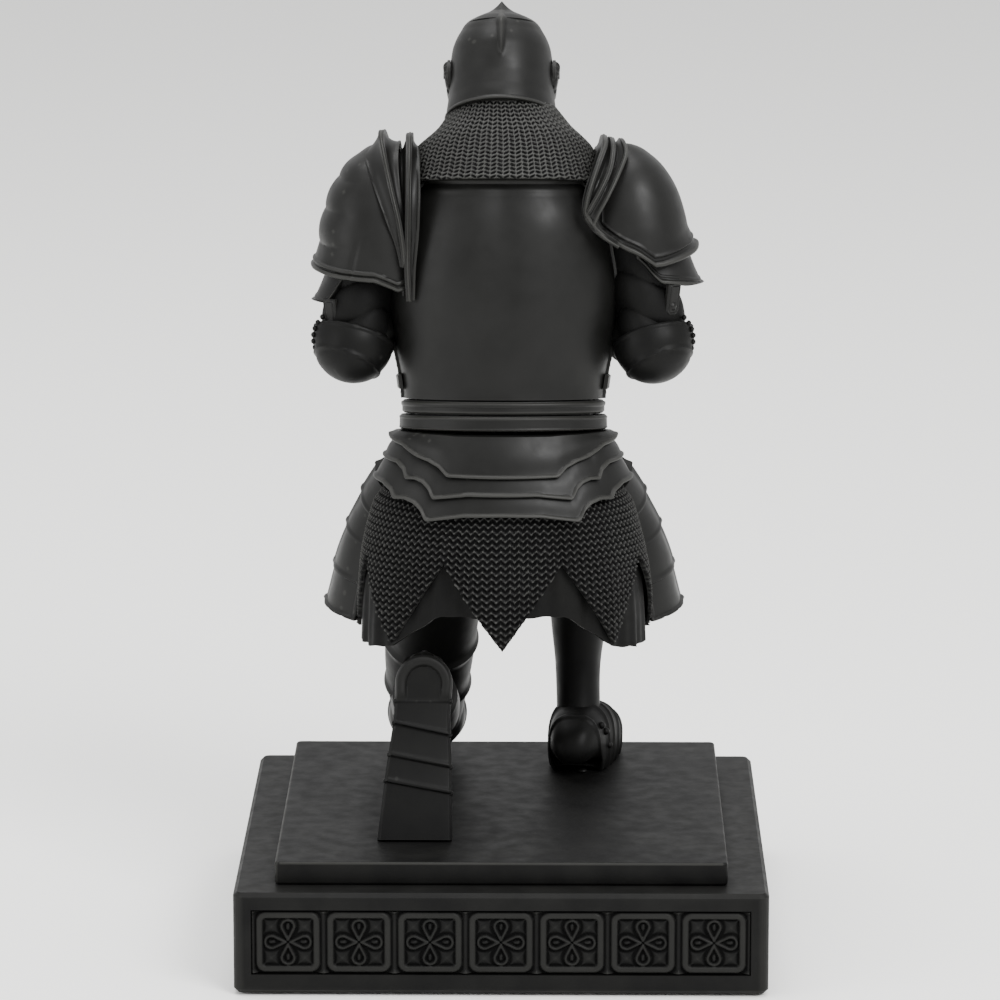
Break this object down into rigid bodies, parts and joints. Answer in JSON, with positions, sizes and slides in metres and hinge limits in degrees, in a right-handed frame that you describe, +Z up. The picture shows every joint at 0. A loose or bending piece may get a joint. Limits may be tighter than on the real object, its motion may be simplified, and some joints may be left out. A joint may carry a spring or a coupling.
{
  "type": "kneeling knight statuette",
  "caption": "Cast-resin statuette of a kneeling armoured knight with a bowed head and a hinged visor, on a stepped plinth with a quatrefoil frieze. His fists form an upright pen bore.",
  "frame": {"origin": "centre of the plinth's underside, on the pad that it stands on", "axes": "+Z up, the knight faces -Y, his left is +X"},
  "size_m": [0.104, 0.104, 0.186],
  "materials": {
    "figure_resin": "satin black cast resin",
    "mail_resin": "satin black cast resin, ring texture",
    "plinth_resin": "satin charcoal cast resin",
    "foam_pad": "closed-cell foam",
    "dowel_steel": "plain steel"
  },
  "bodies": {
    "statuette": {"frieze_back": "plinth_resin", "frieze_right": "plinth_resin", "frieze_front": "plinth_resin", "frieze_left": "plinth_resin", "plinth_lower": "plinth_resin", "plinth_upper": "plinth_resin", "base_pad": "foam_pad", "trunk_core": "figure_resin", "backplate": "figure_resin", "breastplate": "figure_resin", "side_strap_left": "figure_resin", "side_strap_right": "figure_resin", "waist_band": "figure_resin", "sword_belt": "figure_resin", "belt_buckle": "figure_resin", "fauld_lame_1": "figure_resin", "fauld_lame_2": "figure_resin", "fauld_lame_3": "figure_resin", "mail_skirt": "mail_resin", "arming_skirt": "figure_resin", "helmet_skull": "figure_resin", "head": "figure_resin", "mail_collar": "mail_resin", "visor_pivot_left": "figure_resin", "visor_pivot_right": "figure_resin", "sleeve_left": "figure_resin", "couter_left": "figure_resin", "vambrace_left": "figure_resin", "gauntlet_left": "figure_resin", "pauldron_left": "figure_resin", "pauldron_guard_left": "figure_resin", "pauldron_lame_left": "figure_resin", "sleeve_right": "figure_resin", "couter_right": "figure_resin", "vambrace_right": "figure_resin", "gauntlet_right": "figure_resin", "pauldron_right": "figure_resin", "pauldron_guard_right": "figure_resin", "pauldron_lame_right": "figure_resin", "sabaton_left": "figure_resin", "sole_plate_left": "figure_resin", "cuisse_left": "figure_resin", "poleyn_left": "figure_resin", "greave_left": "figure_resin", "cuisse_right": "figure_resin", "poleyn_right": "figure_resin", "greave_right": "figure_resin", "sabaton_right": "figure_resin", "foot_peg_left": "dowel_steel", "foot_peg_right": "dowel_steel", "tasset_left": "figure_resin", "tasset_right": "figure_resin"},
    "visor": {"visor": "figure_resin"}
  },
  "joints": [
    {"name": "visor_hinge", "type": "hinge", "parent": "statuette", "child": "visor", "pos_m": [0.0005, -0.01359, 0.17135], "axis": [-1, 0, 0], "range_deg": [0, 62]}
  ]
}
